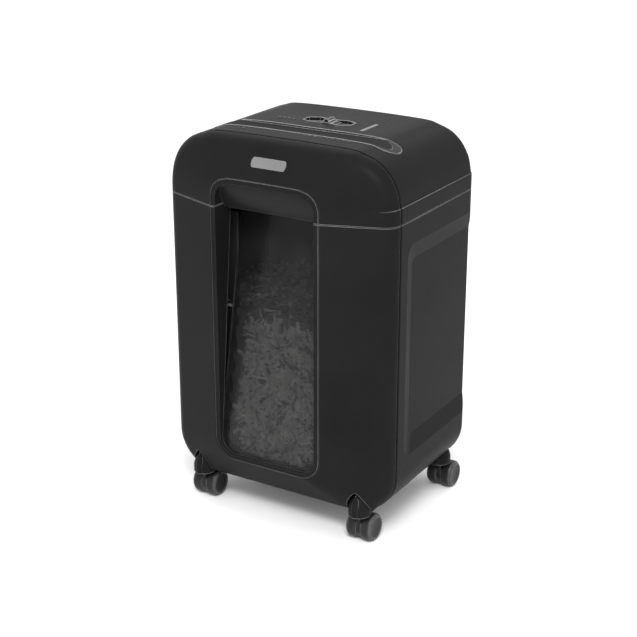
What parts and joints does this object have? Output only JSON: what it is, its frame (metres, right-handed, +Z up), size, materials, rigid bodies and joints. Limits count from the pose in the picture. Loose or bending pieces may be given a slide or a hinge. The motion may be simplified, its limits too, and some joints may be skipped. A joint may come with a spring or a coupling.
{
  "type": "paper shredder",
  "caption": "Upright cross-cut paper shredder with a top slot and slide switch, a windowed pull-out bin and four swivel casters.",
  "frame": {"origin": "on the floor, under the middle of the object", "axes": "+Z up, -Y is the front with the window, +X to the right seen from the front"},
  "size_m": [0.306, 0.235, 0.4793],
  "materials": {
    "body_plastic": "satin moulded black, fine grain",
    "hood_plastic": "smooth semi-gloss black",
    "trim_plastic": "satin dark grey",
    "badge_print": "light grey satin plate",
    "mark_print": "grey printed marks",
    "lens_clear": "smoked light bar",
    "inner_plastic": "moulded black-grey",
    "tub_plastic": "satin black",
    "window_tint": "smoked clear plastic",
    "shred_paper": "cross-cut paper",
    "frame_steel": "zinc plated",
    "cutter_steel": "machined, oiled",
    "gear_plastic": "natural acetal",
    "gear_steel": "sintered steel",
    "bronze": "sintered bronze",
    "armature": "laminated steel and shaft",
    "magnet": "ferrite",
    "screw_steel": "zinc plated",
    "board_green": "solder mask",
    "component_mix": "potted parts",
    "caster_plastic": "satin black",
    "wheel_plastic": "satin black nylon"
  },
  "bodies": {
    "cabinet": {"board_parts": "component_mix", "board_posts": "screw_steel", "cabinet_base": "body_plastic", "cabinet_rails": "inner_plastic", "cabinet_shell": "body_plastic", "circuit_board": "board_green", "comb_front": "inner_plastic", "comb_rear": "inner_plastic", "control_dish": "trim_plastic", "cord_gland": "inner_plastic", "cutter_bushes": "bronze", "cutter_frame_left": "frame_steel", "cutter_frame_right": "frame_steel", "frame_screws": "screw_steel", "gear_axles": "frame_steel", "gear_cover": "inner_plastic", "head_front_cover": "body_plastic", "head_rear_cover": "body_plastic", "head_screws": "screw_steel", "head_tray": "inner_plastic", "hood_badge": "badge_print", "hood_band": "hood_plastic", "indicator_lens": "lens_clear", "interlock_switch": "inner_plastic", "motor_bearing": "bronze", "motor_can": "frame_steel", "motor_end_bell": "inner_plastic", "motor_magnets": "magnet", "paper_guide_front": "inner_plastic", "paper_guide_rear": "inner_plastic", "sensor_housing": "inner_plastic", "slide_switch": "inner_plastic", "slot_funnel": "trim_plastic", "tie_rods": "frame_steel", "top_marks": "mark_print"},
    "drawer": {"drawer_panel": "body_plastic", "bin_window": "window_tint", "bin_tub": "tub_plastic", "paper_shreds": "shred_paper", "drawer_screws": "screw_steel"},
    "knob": {"switch_knob": "trim_plastic"},
    "rear_cutter": {"rotor_rear": "cutter_steel", "sync_gear_rear": "gear_steel", "output_gear": "gear_steel"},
    "front_cutter": {"rotor_front": "cutter_steel", "sync_gear_front": "gear_steel"},
    "second_gear_body": {"second_gear": "gear_plastic"},
    "first_gear_body": {"first_gear": "gear_plastic"},
    "motor_armature": {"motor_rotor": "armature", "cooling_fan": "inner_plastic"},
    "paper_flag": {"sensor_flag": "inner_plastic"},
    "interlock": {"interlock_button": "inner_plastic"},
    "caster_front_left": {"caster_fork_front_left": "caster_plastic"},
    "wheels_front_left": {"caster_wheels_front_left": "wheel_plastic"},
    "caster_front_right": {"caster_fork_front_right": "caster_plastic"},
    "wheels_front_right": {"caster_wheels_front_right": "wheel_plastic"},
    "caster_rear_left": {"caster_fork_rear_left": "caster_plastic"},
    "wheels_rear_left": {"caster_wheels_rear_left": "wheel_plastic"},
    "caster_rear_right": {"caster_fork_rear_right": "caster_plastic"},
    "wheels_rear_right": {"caster_wheels_rear_right": "wheel_plastic"}
  },
  "joints": [
    {"name": "drawer_slide", "type": "slide", "parent": "cabinet", "child": "drawer", "axis": [0, -1, 0], "range_m": [0, 0.2]},
    {"name": "knob_slide", "type": "slide", "parent": "cabinet", "child": "knob", "axis": [1, 0, 0], "range_m": [-0.009, 0.009]},
    {"name": "rear_cutter_spin", "type": "hinge", "parent": "cabinet", "child": "rear_cutter", "pos_m": [0, -0.0165, 0.424], "axis": [1, 0, 0], "continuous": true},
    {"name": "front_cutter_spin", "type": "hinge", "parent": "cabinet", "child": "front_cutter", "pos_m": [0, -0.0465, 0.424], "axis": [1, 0, 0], "continuous": true},
    {"name": "second_gear_spin", "type": "hinge", "parent": "cabinet", "child": "second_gear_body", "pos_m": [0.12, 0.02311, 0.41843], "axis": [1, 0, 0], "continuous": true},
    {"name": "first_gear_spin", "type": "hinge", "parent": "cabinet", "child": "first_gear_body", "pos_m": [0.12, 0.04111, 0.43988], "axis": [1, 0, 0], "continuous": true},
    {"name": "motor_spin", "type": "hinge", "parent": "cabinet", "child": "motor_armature", "pos_m": [0.08, 0.05912, 0.42948], "axis": [1, 0, 0], "continuous": true},
    {"name": "paper_flag_tip", "type": "hinge", "parent": "cabinet", "child": "paper_flag", "pos_m": [0, -0.0163, 0.455], "axis": [1, 0, 0], "range_deg": [0, 35], "stiffness_Nm_per_rad": 0.004, "springref_deg": -17.19},
    {"name": "interlock_press", "type": "slide", "parent": "cabinet", "child": "interlock", "axis": [0, 0, 1], "range_m": [0, 0.003], "stiffness_N_per_m": 250, "springref_m": -0.002},
    {"name": "swivel_front_left", "type": "hinge", "parent": "cabinet", "child": "caster_front_left", "pos_m": [-0.1125, -0.088, 0.04], "axis": [0, 0, 1], "continuous": true},
    {"name": "roll_front_left", "type": "hinge", "parent": "caster_front_left", "child": "wheels_front_left", "pos_m": [-0.1125, -0.076, 0.017], "axis": [1, 0, 0], "continuous": true},
    {"name": "swivel_front_right", "type": "hinge", "parent": "cabinet", "child": "caster_front_right", "pos_m": [0.1125, -0.088, 0.04], "axis": [0, 0, 1], "continuous": true},
    {"name": "roll_front_right", "type": "hinge", "parent": "caster_front_right", "child": "wheels_front_right", "pos_m": [0.1125, -0.076, 0.017], "axis": [1, 0, 0], "continuous": true},
    {"name": "swivel_rear_left", "type": "hinge", "parent": "cabinet", "child": "caster_rear_left", "pos_m": [-0.131, 0.0875, 0.04], "axis": [0, 0, 1], "continuous": true},
    {"name": "roll_rear_left", "type": "hinge", "parent": "caster_rear_left", "child": "wheels_rear_left", "pos_m": [-0.131, 0.0995, 0.017], "axis": [1, 0, 0], "continuous": true},
    {"name": "swivel_rear_right", "type": "hinge", "parent": "cabinet", "child": "caster_rear_right", "pos_m": [0.131, 0.0875, 0.04], "axis": [0, 0, 1], "continuous": true},
    {"name": "roll_rear_right", "type": "hinge", "parent": "caster_rear_right", "child": "wheels_rear_right", "pos_m": [0.131, 0.0995, 0.017], "axis": [1, 0, 0], "continuous": true}
  ],
  "couplings": [
    {"joint": "front_cutter_spin", "follows": "rear_cutter_spin", "ratio": -1},
    {"joint": "second_gear_spin", "follows": "rear_cutter_spin", "ratio": -3.5714},
    {"joint": "first_gear_spin", "follows": "rear_cutter_spin", "ratio": 10.714},
    {"joint": "motor_spin", "follows": "rear_cutter_spin", "ratio": -35.714}
  ]
}
